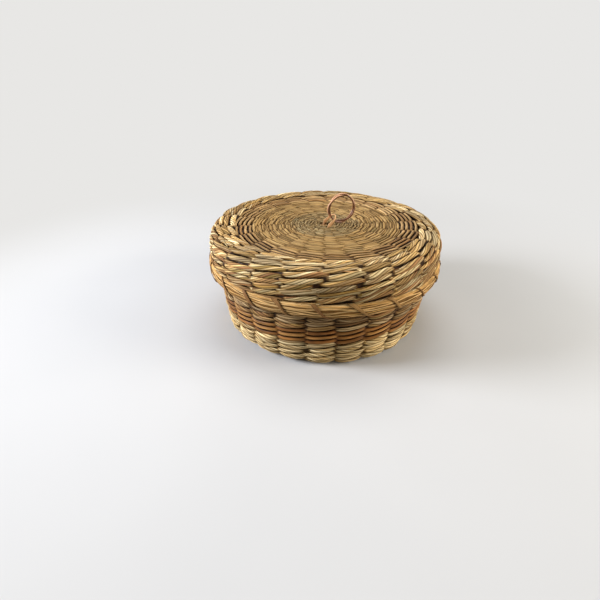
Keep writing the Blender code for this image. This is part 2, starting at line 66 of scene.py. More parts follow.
class Line:
    """A splint's outer face in the (radius, height) plane, measured along its length."""

    def __init__(self, start, moves, side, offset):
        radius, height = start
        heading = 0.0
        rows = [(radius, height, heading)]
        for size, turn in moves:
            if turn == 0.0:
                radius += size * math.cos(heading)
                height += size * math.sin(heading)
                rows.append((radius, height, heading))
                continue
            hand = math.copysign(1.0, turn)
            middle_radius = radius - hand * size * math.sin(heading)
            middle_height = height + hand * size * math.cos(heading)
            for step in range(1, ARC_STEPS + 1):
                angle = heading + turn * step / ARC_STEPS
                radius = middle_radius + hand * size * math.sin(angle)
                height = middle_height - hand * size * math.cos(angle)
                rows.append((radius, height, angle))
            heading += turn
        rows = np.array(rows)
        normal = np.stack([-side * np.sin(rows[:, 2]), side * np.cos(rows[:, 2])], 1)
        place = rows[:, :2] + offset * normal
        steps = np.hypot(*np.diff(place, axis=0).T)
        self.length = np.concatenate([[0.0], np.cumsum(steps)])
        self.table = np.hstack([place, normal])

    def at(self, length):
        """Columns radius, height, normal radius and normal height at each length."""
        return np.stack([np.interp(length, self.length, column) for column in self.table.T], 1)


def wall_line(offset):
    lean = math.pi / 2 - WALL_FLARE
    corner_top = STAKE_LEVEL + STAKE_CORNER_RADIUS * (1 - math.cos(lean))
    moves = [
        (BASE_FLAT_RADIUS, 0.0),
        (STAKE_CORNER_RADIUS, lean),
        ((FLARE_TOP_HEIGHT - corner_top) / math.cos(WALL_FLARE), 0.0),
        (STAKE_TOP_BEND_RADIUS, WALL_FLARE),
        (FLARE_TOP_HEIGHT, 0.0),
    ]
    return Line((0.0, STAKE_LEVEL), moves, -1, offset)


def lid_line(offset):
    moves = [
        (SPOKE_FLAT_RADIUS, 0.0),
        (SPOKE_CORNER_RADIUS, -math.pi / 2),
        (SPOKE_LEVEL - SPOKE_CORNER_RADIUS - SPOKE_END_HEIGHT, 0.0),
    ]
    return Line((0.0, SPOKE_LEVEL), moves, 1, offset)


# How far round a strand its open side reaches before its painted shade sets in, and the depth, so the painted
# shade, that its ends are given
FACING_REACH = 0.42
END_DEPTH = 0.5


class Strands:
    """Swept strands gathered into one mesh, with what their material reads.

    The UV map grain holds the distance along the strand, in metres, and the number of the
    blade round it. tone is a random number for each visible stretch, and depth runs from
    0 where a strand is tucked away to 1 where it stands proud; the materials paint shade from it.
    """

    def __init__(self):
        self.points, self.faces, self.grain, self.tone, self.depth = [], [], [], [], []
        self.total = 0

    def sweep(self, centre, across, out, half_width, half_thickness, tone, proud,
              blades=1, groove=0.0, twist=0.0, sides=10, closed=False, blade_start=0.0, flat=0.25, bare=0.0):
        """One strand. across and out are unit vectors of its section at each centre.

        proud is the share, from 0 to 1, in which the strand's outer side is open to view,
        and bare the least depth that any of its sides is given, which caps its painted shade.
        groove draws the section in between its blades, and flat squares it off.
        """
        count = len(centre)
        turn = np.arange(sides) / sides
        along = np.concatenate([[0.0], np.cumsum(np.linalg.norm(np.diff(centre, axis=0), axis=1))])
        lay = np.concatenate([[0.0], np.cumsum(np.broadcast_to(twist, count)[1:] * np.diff(along))])
        angle = TAU * turn[None, :] + lay[:, None]
        lobe = 1 - groove * (1 - np.abs(np.sin(math.pi * blades * turn)))[None, :]
        square = np.maximum(np.abs(np.cos(angle)), np.abs(np.sin(angle))) ** -flat
        wide = (np.cos(angle) * lobe * square * half_width[:, None])[..., None]
        thick = (np.sin(angle) * lobe * square * half_thickness[:, None])[..., None]
        ring = centre[:, None, :] + across[:, None, :] * wide + out[:, None, :] * thick
        first = self.total
        index = first + np.arange(count * sides).reshape(count, sides)
        here, after = index, np.roll(index, -1, 1)
        rows = count if closed else count - 1
        next_row = np.roll(np.arange(count), -1)
        quads = np.stack([here[:rows], after[:rows], after[next_row[:rows]], here[next_row[:rows]]], -1)
        self.points.append(ring.reshape(-1, 3))
        self.faces.append(quads.reshape(-1, 4))
        far = np.append(along[1:], along[-1] + (along[1] if closed else 0.0))[:rows]
        low = blade_start + turn * blades
        high = blade_start + (turn + 1 / sides) * blades
        grain = np.empty((rows, sides, 4, 2))
        grain[..., 0, 0] = grain[..., 1, 0] = along[:rows, None]
        grain[..., 2, 0] = grain[..., 3, 0] = far[:, None]
        grain[..., 0, 1] = grain[..., 3, 1] = low[None, :]
        grain[..., 1, 1] = grain[..., 2, 1] = high[None, :]
        self.grain.append(grain.reshape(-1, 4, 2))
        self.tone.append(np.repeat(tone[:rows], sides))
        # depth, which the materials paint as shade: sides turned away from view and tucked passes get low
        # values
        facing = np.sin(angle)
        open_outside = np.clip(facing + FACING_REACH, 0, 1)
        open_inside = np.clip(FACING_REACH - facing, 0, 1)
        shown = proud[:, None] * open_outside + (1 - proud[:, None]) * open_inside
        shown = np.maximum(shown, np.broadcast_to(bare, count)[:, None])
        self.depth.append(shown.ravel())
        self.total += count * sides
        if not closed:
            for end, order in ((0, 1), (count - 1, -1)):
                self.cap(index[end][::order][::-1], centre[end], tone[min(end, rows - 1)], END_DEPTH)

    def cap(self, rim, middle, tone, depth):
        """Close a strand's end with a fan of triangles, each given as a quad with a doubled corner."""
        self.points.append(middle[None, :])
        hub = self.total
        self.total += 1
        self.depth.append(np.array([depth]))
        for one, two in zip(rim, np.roll(rim, -1)):
            self.faces.append(np.array([[one, two, hub, hub]]))
            self.grain.append(np.zeros((1, 4, 2)))
            self.tone.append(np.array([tone]))

    def build(self, name, body, material, slot, *nodes):
        faces = np.concatenate(self.faces)
        grain = np.concatenate(self.grain)
        corners, uvs = [], []
        for face, uv in zip(faces.tolist(), grain.tolist()):
            size = 3 if face[2] == face[3] else 4
            corners.append(face[:size])
            uvs.extend(uv[:size])
        mesh = bpy.data.meshes.new(name)
        mesh.from_pydata(np.concatenate(self.points).tolist(), [], corners)
        layer = mesh.uv_layers.new(name="grain")
        layer.uv.foreach_set("vector", np.array(uvs, np.float32).ravel())
        mesh.attributes.new("tone", "FLOAT", "FACE").data.foreach_set(
            "value", np.concatenate(self.tone).astype(np.float32))
        mesh.attributes.new("depth", "FLOAT", "POINT").data.foreach_set(
            "value", np.concatenate(self.depth).astype(np.float32))
        mesh.shade_smooth()
        mesh.materials.append(material)
        piece = bpy.data.objects.new(name, mesh)
        bpy.context.scene.collection.objects.link(piece)
        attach(piece, body)
        if nodes:
            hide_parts(*nodes)
        return piece


def random_numbers(name):
    return np.random.default_rng([SEED, *name.encode()])


HOLD_SHARE = 0.3
EASE_SHARE = 0.4


def smooth_steps(values, at):
    """One value for each whole number, held near it and eased across the middle of each step."""
    whole = np.floor(at)
    share = np.clip((at - whole - HOLD_SHARE) / EASE_SHARE, 0, 1)
    share = share * share * (3 - 2 * share)
    index = np.clip(whole.astype(int) + 1, 0, len(values) - 2)
    return values[index] * (1 - share) + values[index + 1] * share


def rise_between(value, low, high):
    share = np.clip((value - low) / (high - low), 0, 1)
    return share * share * (3 - 2 * share)


# Unevenness and shape of the twined strands
STEPS_PER_SPLINT = 12
SECOND_START = 0.08
MOST_SHIFT = 0.3
TWIST_UNEVEN = 0.5
TWIST_RANGE = (0.2, 2.0)
WANDER = 0.35
NARROWEST = -0.8
THICKNESS_UNEVEN = 0.6
THICKNESS_TAPER = 0.45
TAPER_POWER = 1.3
FADE_THIN = 0.75
FADE_FLAT = 0.6
# Swing at which a diving strand's painted shade is darkest, and the least depth, so the least painted shade,
# that uncovered rows keep
TUCKED_SWING = -0.4
BARE_DEPTH = 0.75
BLADES_APART = 17.0


def twine(strands, name, line, start, turns, pitch, count, seam, inner, width, thickness, inner_thickness,
          taper=0.5, rise=0.0, rough=0.1, hug=1.6, side=1, fade_turns=0, jitter=0.05, twist=0.0,
          spread=0.2, bare_turns=0, dive=0.3, **look):
    """A pair of strands round the splints, on the line outside them and inner off it inside.

    Each passes outside one splint and inside the next, and they cross in between, where one
    lies above the other by twice the rise. Over the last fade_turns the pitch falls to half and
    the strands thin out. Inside the splints a strand is wider by the share that spread gives. It
    takes painted shade on its way in, from the swing that dive gives. Nothing covers the last
    bare_turns, so their tucked sides get little of the painted shade.
    """
    rng = random_numbers(name)
    crossing = np.arange(-3, turns * count + 3) + 0.5
    shift = np.clip(rng.normal(0, jitter, len(crossing)), -MOST_SHIFT, MOST_SHIFT)
    for strand in (0, 1):
        total = turns * count
        first, last = (-1.0, total - 1.0) if strand == 0 else (SECOND_START, total - SECOND_START)
        step = np.linspace(first, last, int((last - first) * STEPS_PER_SPLINT) + 1)
        phase = step - np.interp(step, crossing + shift, shift)
        swing = np.cos(math.pi * (phase + strand))
        lean = np.sin(math.pi * (phase + strand))
        hidden = ((1 - swing) / 2) ** hug
        segments = int(total) + 4
        vary = {key: smooth_steps(rng.normal(0, 1, segments), phase) for key in "abcd"}
        tone = rng.random(segments)[np.clip(np.round(phase).astype(int) + 1, 0, segments - 1)]
        uneven = smooth_steps(rng.normal(0, 1, segments), phase)
        lay = twist * np.clip(1 + TWIST_UNEVEN * uneven, *TWIST_RANGE)
        fading = np.clip((step - total + fade_turns * count) / max(fade_turns * count, 1), 0, 1)
        fading = fading * (fade_turns > 0)
        offset = inner * hidden + vary["a"] * rough * thickness * WANDER * (swing > 0)
        slide = rise * lean + vary["b"] * rough * width * WANDER
        travel = step - fading * fade_turns * count * fading / 4
        place = line.at(start + pitch * travel / count + slide * (1 - FADE_FLAT * fading))
        radius = place[:, 0] + place[:, 2] * offset
        height = place[:, 1] + place[:, 3] * offset
        angle = TAU * (seam + step) / count
        cos, sin = np.cos(angle), np.sin(angle)
        centre = np.stack([radius * cos, radius * sin, height], 1)
        out = np.stack([place[:, 2] * cos, place[:, 2] * sin, place[:, 3]], 1)
        run_radius, run_height = side * place[:, 3], -side * place[:, 2]
        across = np.stack([run_radius * cos, run_radius * sin, run_height], 1)
        full = 1 - taper * (1 - np.abs(swing)) ** TAPER_POWER
        half_width = width / 2 * full * (1 + rough * np.maximum(vary["c"], NARROWEST))
        half_width = half_width * (1 - FADE_THIN * fading) * (1 + spread * hidden)
        half_thickness = thickness / 2 * (1 - THICKNESS_TAPER * taper * (1 - np.abs(swing)))
        half_thickness = half_thickness * (1 + rough * THICKNESS_UNEVEN * vary["d"]) * (1 - hidden)
        half_thickness = half_thickness + inner_thickness / 2 * hidden
        # proud and bare set how much painted shade the strand's sides and tucked passes get
        strands.sweep(centre, across, out, half_width, half_thickness, tone,
                      rise_between(swing, TUCKED_SWING, dive), blade_start=BLADES_APART * strand, twist=lay,
                      bare=BARE_DEPTH * (step > total - bare_turns * count), **look)


def waves(rng, turn, count, low, high):
    """Smooth random numbers round a full turn that close on themselves, one row for each."""
    order = np.arange(low, high)
    share = rng.normal(0, 1, (count, len(order))) / np.sqrt(len(order) / 2)
    lag = rng.uniform(0, TAU, (count, len(order)))
    return (share[..., None] * np.cos(order[None, :, None] * turn[None, None, :] + lag[..., None])).sum(1)


def ring_frame(turn, radius, height, normal_radius, normal_height):
    """Centre, side and outward directions round the z axis from plane values at each turn."""
    cos, sin = np.cos(turn), np.sin(turn)
    centre = np.stack([radius * cos, radius * sin, height + 0 * turn], 1)
    out = np.stack([normal_radius * cos, normal_radius * sin, normal_height + 0 * turn], 1)
    across = np.stack([-normal_height * cos, -normal_height * sin, normal_radius + 0 * turn], 1)
    return centre, across, out


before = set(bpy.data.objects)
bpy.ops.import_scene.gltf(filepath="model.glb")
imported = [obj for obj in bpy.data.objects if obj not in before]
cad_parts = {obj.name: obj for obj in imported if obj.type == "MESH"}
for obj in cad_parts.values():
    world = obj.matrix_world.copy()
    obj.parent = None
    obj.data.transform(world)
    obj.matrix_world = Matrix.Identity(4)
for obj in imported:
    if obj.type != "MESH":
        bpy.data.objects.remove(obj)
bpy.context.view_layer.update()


# The range that a noise mostly keeps to
NOISE_LOW = 0.3
NOISE_HIGH = 0.7


class Nodes:
    """Short way to add shader nodes to one tree and join them."""

    def __init__(self, tree):
        self.tree = tree

    def add(self, kind, inputs=None, **settings):
        node = self.tree.nodes.new("ShaderNode" + kind)
        for key, value in settings.items():
            setattr(node, key, value)
        for key, value in (inputs or {}).items():
            self.set(node.inputs[key], value)
        return node

    def set(self, socket, value):
        if isinstance(value, bpy.types.NodeSocket):
            self.tree.links.new(value, socket)
        else:
            socket.default_value = value

    def math(self, operation, *values):
        node = self.add("Math", operation=operation)
        for socket, value in zip(node.inputs, values):
            self.set(socket, value)
        return node.outputs[0]

    def scale(self, value, from_low, from_high, low, high):
        node = self.add("MapRange", {"Value": value, "From Min": from_low, "From Max": from_high,
                                     "To Min": low, "To Max": high})
        return node.outputs["Result"]

    def spread(self, value, low, high):
        """Take a noise from its usual range onto low to high."""
        return self.scale(value, NOISE_LOW, NOISE_HIGH, low, high)

    def ramp(self, value, stops, interpolation="LINEAR"):
        node = self.add("ValToRGB", {"Fac": value})
        ramp = node.color_ramp
        ramp.interpolation = interpolation
        for place, colour in stops[1:-1]:
            ramp.elements.new(place)
        for element, (place, colour) in zip(ramp.elements, stops):
            element.position = place
            element.color = (*colour, 1.0)
        return node.outputs["Color"]

    def mix(self, share, first, second, blend="MIX"):
        """Mix two colours, which are the node's inputs 6 and 7 and its output 2."""
        node = self.add("Mix", data_type="RGBA", blend_type=blend)
        self.set(node.inputs[0], share)
        self.set(node.inputs[6], first)
        self.set(node.inputs[7], second)
        return node.outputs[2]

    def noise(self, vector, scale, detail=2.0, roughness=0.5):
        node = self.add("TexNoise", {"Vector": vector, "Scale": scale, "Detail": detail,
                                     "Roughness": roughness})
        return node.outputs["Fac"]

    def vector(self, x, y, z):
        node = self.add("CombineXYZ", {"X": x, "Y": y, "Z": z})
        return node.outputs[0]

    def bump(self, height, strength, distance):
        node = self.add("Bump", {"Height": height, "Strength": strength, "Distance": distance})
        return node.outputs["Normal"]


def new_material(name):
    """A material, its nodes and its shader."""
    material = bpy.data.materials.new(name)
    material.use_nodes = True
    n = Nodes(material.node_tree)
    return material, n, n.tree.nodes["Principled BSDF"]


def linear(red, green, blue):
    """Linear colour from the 0 to 255 values that a screen shows."""
    return tuple((c / 255 / 12.92) if c <= 10 else ((c / 255 + 0.055) / 1.055) ** 2.4
                 for c in (red, green, blue))


# Dried blades: how a colour is picked, the sizes of its markings, and how painted shade darkens their seams
# and tucked sides and warms as it deepens
TONE_SHARE = 0.62
BLADE_SHARE = 0.38
CLOUD_SCALE = 60.0
CLOUD_JUMP = 40.0
LINE_SCALE = 90.0
LINE_JUMP = 60.0
LINE_LOW = 0.5
LINE_HIGH = 1.4
LIGHTER = 1.3
SEAM_START = 0.26
SEAM_END = 0.48
SEAM_SHADE = 0.2
GREEN_FALL = 1.15
BLUE_FALL = 1.4
BLADE_BUMP = 0.35 * MM


def grass_material(name, palette, fibre=6.0, rough=0.62, dark=0.3, coarse=0.25, gloss=0.12, vary=0.0,
                   open_from=0.3):
    """Dried blades: a colour for each stretch, a tint for each blade and fine fibre lines.

    A stretch may be darker by the share that vary gives, or lighter by 1.3 times that share.
    Depths up to open_from have the darkest painted shade, which dark gives; the seams between blades also get
    painted shade, which turns warmer as it deepens.
    """
    material, n, shader = new_material(name)
    grain = n.add("UVMap", uv_map="grain").outputs["UV"]
    parts = n.add("SeparateXYZ", {"Vector": grain}).outputs
    along, blade = parts["X"], parts["Y"]
    tone = n.add("Attribute", attribute_name="tone").outputs["Fac"]
    depth = n.add("Attribute", attribute_name="depth").outputs["Fac"]
    number = n.math("FLOOR", blade)
    own = n.add("TexWhiteNoise", {"Vector": n.vector(number, tone, 0.0)}, noise_dimensions="3D")
    pick = n.math("ADD", n.math("MULTIPLY", tone, TONE_SHARE),
                  n.math("MULTIPLY", own.outputs["Value"], BLADE_SHARE))
    stops = [(i / (len(palette) - 1), linear(*c)) for i, c in enumerate(palette)]
    colour = n.ramp(pick, stops)
    cloud_place = n.vector(n.math("MULTIPLY", along, CLOUD_SCALE), blade,
                           n.math("MULTIPLY", tone, CLOUD_JUMP))
    cloud = n.noise(cloud_place, 1.0, 3.0)
    line_place = n.vector(n.math("MULTIPLY", along, LINE_SCALE), n.math("MULTIPLY", blade, fibre),
                          n.math("MULTIPLY", tone, LINE_JUMP))
    lines = n.noise(line_place, 1.0, 3.0, 0.6)
    shade = n.math("MULTIPLY", n.spread(lines, LINE_LOW, LINE_HIGH), n.spread(cloud, 1 - coarse, 1 + coarse))
    stretch = n.add("TexWhiteNoise", {"W": tone}, noise_dimensions="1D").outputs["Value"]
    shade = n.math("MULTIPLY", shade, n.scale(stretch, 0.0, 1.0, 1 - vary, 1 + LIGHTER * vary))
    colour = n.mix(1.0, colour, n.vector(shade, shade, shade), "MULTIPLY")
    edge = n.math("ABSOLUTE", n.math("SUBTRACT", n.math("FRACT", blade), 0.5))
    # Painted shade: darker in the seams between blades and where depth is low, with green and blue falling
    # faster so the shade turns warmer
    seam = n.scale(edge, SEAM_START, SEAM_END, 1.0, SEAM_SHADE)
    painted_shade = n.math("MULTIPLY", seam, n.scale(depth, open_from, 1.0, dark, 1.0))
    warm_painted_shade = n.vector(painted_shade, n.math("POWER", painted_shade, GREEN_FALL), n.math("POWER", painted_shade, BLUE_FALL))
    colour = n.mix(1.0, colour, warm_painted_shade, "MULTIPLY")
    n.set(shader.inputs["Base Color"], colour)
    n.set(shader.inputs["Roughness"], n.spread(lines, rough + 0.12, rough - 0.1))
    shader.inputs["Specular IOR Level"].default_value = gloss
    height = n.math("ADD", n.math("MULTIPLY", lines, 0.6), n.math("MULTIPLY", edge, -0.8))
    n.set(shader.inputs["Normal"], n.bump(height, 0.55, BLADE_BUMP))
    return material


CREAM = (249, 223, 169)
STRAW = (217, 178, 113)
GOLD = (200, 152, 81)
TAN = (174, 135, 83)
OLIVE = (156, 129, 72)
GREY = (190, 162, 120)
PINK_BROWN = (159, 113, 70)
BROWN = (113, 81, 46)
# Stretches of random lightness, and painted shade that reaches further round the strands' sides
UNEVEN_AND_DEEP_SHADE = dict(vary=0.28, open_from=0.42)

pale_grass = grass_material(
    "pale_grass", [STRAW, CREAM, STRAW, CREAM, TAN, CREAM, STRAW, CREAM],
    dark=0.12, vary=0.22, open_from=0.34)
straw_grass = grass_material(
    "straw_grass", [OLIVE, TAN, STRAW, GREY, CREAM, TAN, STRAW, BROWN], dark=0.08, **UNEVEN_AND_DEEP_SHADE)
# Rows under the rim: a greyer, browner palette, kept darker still as painted shadow of the rim's overhang
grey_painted_shadow_grass = grass_material(
    "grey_painted_shadow_grass", [OLIVE, TAN, GREY, BROWN, TAN, PINK_BROWN, OLIVE, GREY], dark=0.1, **UNEVEN_AND_DEEP_SHADE)
tan_rush = grass_material(
    "tan_rush", [GOLD, OLIVE, CREAM, STRAW, PINK_BROWN, TAN, GREY, STRAW, CREAM, BROWN], dark=0.08, **UNEVEN_AND_DEEP_SHADE)
olive_grass = grass_material(
    "olive_grass", [(135, 113, 72), (163, 133, 87), (154, 135, 96), (176, 146, 98), (144, 122, 79)],
    fibre=7.0, dark=0.3, coarse=0.2)
gold_grass = grass_material(
    "gold_grass", [(137, 113, 68), (165, 133, 83), (187, 152, 98), (174, 137, 81), (193, 161, 109)],
    fibre=7.0, dark=0.4, coarse=0.14)
gold_straw = grass_material(
    "gold_straw", [(230, 186, 120), (208, 158, 90), (240, 198, 134), (188, 140, 82), (218, 170, 100)],
    fibre=4.0, dark=0.4)
orange_wicker = grass_material(
    "orange_wicker", [(191, 135, 72), (163, 109, 55), (204, 150, 85), (137, 90, 46), (182, 122, 62)],
    fibre=9.0, rough=0.5, dark=0.12)
tan_wicker = grass_material(
    "tan_wicker", [(187, 152, 100), (163, 126, 79), (206, 169, 115), (144, 109, 68), (180, 135, 83)],
    fibre=9.0, rough=0.55, dark=0.08)
# The canes take painted shade on their sides that face the ring's middle
ring_cane = grass_material(
    "ring_cane", [(223, 161, 115), (191, 128, 87), (241, 182, 137), (163, 107, 70)],
    fibre=8.0, rough=0.36, dark=0.4, gloss=0.4)
split_wood = grass_material(
    "split_wood", [(193, 152, 100), (174, 131, 81), (206, 165, 113), (154, 113, 70)],
    fibre=14.0, dark=0.7, coarse=0.2)
dark_wood = grass_material(
    "dark_wood", [(172, 126, 74), (140, 99, 57), (184, 141, 85), (120, 84, 49)], fibre=14.0, dark=0.4)
tie_wood = grass_material(
    "tie_wood", [(251, 202, 150), (232, 180, 128), (255, 213, 163)], fibre=14.0, dark=1.0, coarse=0.2)


def splint_material(name, light, dark):
    """Split wood for the model's own splints: grain runs out from the middle and along the wall."""
    material, n, shader = new_material(name)
    place = n.add("TexCoord").outputs["Object"]
    parts = n.add("SeparateXYZ", {"Vector": place}).outputs
    turn = n.math("ARCTAN2", parts["Y"], parts["X"])
    radius = n.math("POWER", n.math("ADD", n.math("MULTIPLY", parts["X"], parts["X"]),
                                    n.math("MULTIPLY", parts["Y"], parts["Y"])), 0.5)
    run = n.math("SUBTRACT", radius, parts["Z"])
    line_place = n.vector(n.math("MULTIPLY", turn, 190.0), n.math("MULTIPLY", run, 55.0), 0.0)
    lines = n.noise(line_place, 1.0, 4.0, 0.65)
    cloud = n.noise(place, 45.0, 2.0)
    colour = n.ramp(lines, [(NOISE_LOW, linear(*dark)), (NOISE_HIGH, linear(*light))])
    shade = n.spread(cloud, 0.72, 1.12)
    colour = n.mix(1.0, colour, n.vector(shade, shade, shade), "MULTIPLY")
    n.set(shader.inputs["Base Color"], colour)
    n.set(shader.inputs["Roughness"], n.spread(lines, 0.72, 0.5))
    shader.inputs["Specular IOR Level"].default_value = 0.3
    n.set(shader.inputs["Normal"], n.bump(lines, 0.4, 0.3 * MM))
    return material


# The stakes' wood is an aged dark brown, kept dark partly as painted shade where it shows in the gaps between
# rows; the lid's spokes get a darker copy, which is painted shadow in the lid's gaps
splint_wood = splint_material("splint_wood", (144, 107, 68), (81, 57, 36))
painted_shadow_wood = splint_material("painted_shadow_wood", (94, 68, 42), (51, 36, 23))
for name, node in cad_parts.items():
    for start, wood in (("basket_stake_", splint_wood), ("lid_spoke_", painted_shadow_wood)):
        if name.startswith(start):
            for place in node.material_slots:
                place.material = wood


# Offsets of the rows' lines from the splints, and rows of each kind on the wall
WALL_ROW_OFFSET = 2.25 * MM
SKIRT_ROW_OFFSET = 2.25 * MM
LOWER_ROWS = 5
WICKER_ROWS = 3


def wall_zone(name, nodes, start, turns, pitch, count, material, slot, width, thickness,
              inner=-4.4 * MM, inner_thickness=2.2 * MM, **look):
    strands = Strands()
    twine(strands, name, wall_line(WALL_ROW_OFFSET), start, turns, pitch, count, SEAM_STAKE, inner,
          width, thickness, inner_thickness, side=-1, **look)
    return strands.build(name, "basket", material, slot, *nodes)


LEAF = dict(blades=5, groove=0.2, twist=120.0, sides=20, flat=0.06)
ROPE = dict(blades=6, groove=0.18, twist=130.0, sides=24, flat=0.12, dive=0.12, spread=0.4)
BASE_LEAF = dict(blades=3, groove=0.2, twist=90.0, sides=15)
ROD = dict(blades=1, sides=10, taper=0.0, rough=0.05, flat=0.0, spread=0.5)
LID_ROD = dict(ROD, spread=1.1)
wall_zone("woven_base", ["base_weave"], 17.45 * MM, 10, 6.5 * MM, STAKE_COUNT, pale_grass, "pale_grass",
          5.9 * MM, 3.3 * MM, inner=-4.6 * MM, inner_thickness=2.6 * MM, rise=1.2 * MM, rough=0.05,
          **BASE_LEAF)
wall_zone("woven_base_middle", [], 5.6 * MM, 3, 3.9 * MM, 12, pale_grass, "pale_grass",
          3.6 * MM, 2.4 * MM, inner=-4.2 * MM, inner_thickness=1.6 * MM, rise=0.7 * MM, rough=0.05,
          **BASE_LEAF)
wall_zone("woven_grass_lower", ["side_grass_lower"], SIDE_START, LOWER_ROWS, SIDE_PITCH, STAKE_COUNT,
          pale_grass, "pale_grass", 4.4 * MM, 3.6 * MM, rise=1.35 * MM, rough=0.16, taper=0.38, **LEAF)
wall_zone("woven_wicker", ["side_wicker"], SIDE_START + LOWER_ROWS * SIDE_PITCH, WICKER_ROWS, SIDE_PITCH,
          STAKE_COUNT, orange_wicker, "orange_wicker", 3.2 * MM, 2.8 * MM, rise=1.05 * MM, jitter=0.04, **ROD)
wall_zone("woven_grass_upper", ["side_grass_upper"], SIDE_START + (LOWER_ROWS + WICKER_ROWS) * SIDE_PITCH, 4,
          SIDE_PITCH, STAKE_COUNT, grey_painted_shadow_grass, "straw_grass", 4.4 * MM, 3.6 * MM, rise=1.35 * MM,
          rough=0.16, hug=1.8, taper=0.38, bare_turns=1.2, **LEAF)


def lid_zone(name, nodes, centre, start, turns, pitch, count, material, slot, width, thickness, inner,
             inner_thickness, **look):
    strands = Strands()
    twine(strands, name, lid_line(centre), start, turns, pitch, count, SEAM_SPOKE, inner,
          width, thickness, inner_thickness, side=1, **look)
    return strands.build(name, "lid", material, slot, *nodes)


HUB_LEAF = dict(blades=3, groove=0.14, twist=60.0, sides=12, taper=0.3, hug=3.0)
lid_zone("woven_lid_hub", ["lid_centre_weave"], 1.1 * MM, 4.2 * MM, 3, 2.8 * MM, 12, olive_grass,
         "olive_grass", 2.7 * MM, 1.7 * MM, -2.7 * MM, 1.1 * MM, rise=0.5 * MM, rough=0.12, jitter=0.1,
         **HUB_LEAF)
lid_zone("woven_lid_middle", [], 1.1 * MM, 12.7 * MM, 6, 2.8 * MM, SPOKE_COUNT, olive_grass, "olive_grass",
         2.8 * MM, 1.7 * MM, -2.7 * MM, 1.1 * MM, rise=0.5 * MM, rough=0.14, jitter=0.12, **HUB_LEAF)
lid_zone("woven_lid_disc", [], 1.1 * MM, 29.4 * MM, 12, 2.83 * MM, SPOKE_COUNT, gold_grass, "olive_grass",
         2.8 * MM, 1.6 * MM, -2.7 * MM, 1.0 * MM, rise=0.55 * MM, hug=4.0, taper=0.35, rough=0.1, jitter=0.1,
         blades=2, groove=0.1, twist=20.0, sides=10)
lid_zone("woven_lid_wicker", ["lid_wicker"], 1.5 * MM, 63.3 * MM, 4, 3.85 * MM, SPOKE_COUNT, tan_wicker,
         "orange_wicker", 2.3 * MM, 2.3 * MM, -3.2 * MM, 1.4 * MM, rise=0.8 * MM, hug=2.2, jitter=0.06,
         **LID_ROD)
lid_zone("woven_lid_braid", ["lid_braid"], 2.4 * MM, 78.3 * MM, 3, 5.1 * MM, SPOKE_COUNT, straw_grass,
         "straw_grass", 4.9 * MM, 3.5 * MM, -3.8 * MM, 0.8 * MM, rise=-1.2 * MM, rough=0.12, hug=3.0,
         taper=0.32, jitter=0.1, **ROPE)
lid_zone("woven_lid_skirt", ["lid_skirt_rows"], SKIRT_ROW_OFFSET, 93.6 * MM, 6, 4.4 * MM, SPOKE_COUNT,
         tan_rush, "tan_rush", 4.65 * MM, 3.5 * MM, -3.45 * MM, 0.8 * MM, rise=-1.35 * MM, rough=0.16, hug=3.4,
         fade_turns=1, taper=0.34, jitter=0.11, **ROPE)


def node_ring(node):
    """Outer radius, middle height and half height of a node that goes round the basket."""
    low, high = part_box(node)
    return high[0], (low[2] + high[2]) / 2, (high[2] - low[2]) / 2


# Straw bundle round the lid's rim
BUNDLE_HALF_WIDTH = 2.15 * MM
STRAW_COUNT = 24
STRAW_HALF_WIDTH = 0.62 * MM
STRAW_PIECES = 5
STRAW_WANDER = 0.3
STRAW_LIFT = 0.07 * MM
STRAW_CROWDING = 0.32
JOINT_REACH = 0.035
JOINT_THINNING = 0.6
BUNDLE_STEPS = SPOKE_COUNT * 12
BUNDLE_PINCH = 0.08
PINCH_REACH = 0.13
bundle_outer, BUNDLE_MIDDLE, BUNDLE_HALF_HEIGHT = node_ring("lid_rim_bundle")
BUNDLE_RADIUS = bundle_outer - BUNDLE_HALF_WIDTH


